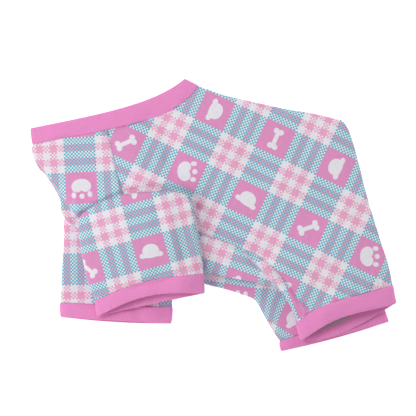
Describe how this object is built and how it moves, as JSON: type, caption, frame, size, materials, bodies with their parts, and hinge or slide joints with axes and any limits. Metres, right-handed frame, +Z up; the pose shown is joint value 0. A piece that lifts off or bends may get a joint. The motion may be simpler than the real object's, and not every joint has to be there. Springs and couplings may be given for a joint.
{
  "type": "dog jumpsuit",
  "caption": "Four-legged dog jumpsuit in printed jersey with ribbed neck band and cuffs, lying folded flat on its side.",
  "frame": {"origin": "centre of the bounding box's base, on the surface the garment lies on", "axes": "+X along the back from the neck towards the rump, +Y towards the back seam away from the cuffs, +Z up through the folded layers"},
  "size_m": [0.4024, 0.3004, 0.049],
  "materials": {
    "back_panel": "printed cotton jersey, matt",
    "belly_panel": "printed cotton jersey, matt",
    "sleeve_near": "printed cotton jersey, matt",
    "sleeve_far": "printed cotton jersey, matt",
    "neck_band": "ribbed knit, matt",
    "front_cuff_near": "ribbed knit, matt",
    "front_cuff_far": "ribbed knit, matt",
    "hind_cuff_near": "ribbed knit, matt",
    "hind_cuff_far": "ribbed knit, matt"
  },
  "bodies": {
    "root": {"back_panel": "back_panel", "belly_panel": "belly_panel", "sleeve_near": "sleeve_near", "sleeve_far": "sleeve_far", "neck_band": "neck_band", "front_cuff_near": "front_cuff_near", "front_cuff_far": "front_cuff_far", "hind_cuff_near": "hind_cuff_near", "hind_cuff_far": "hind_cuff_far"}
  },
  "joints": []
}
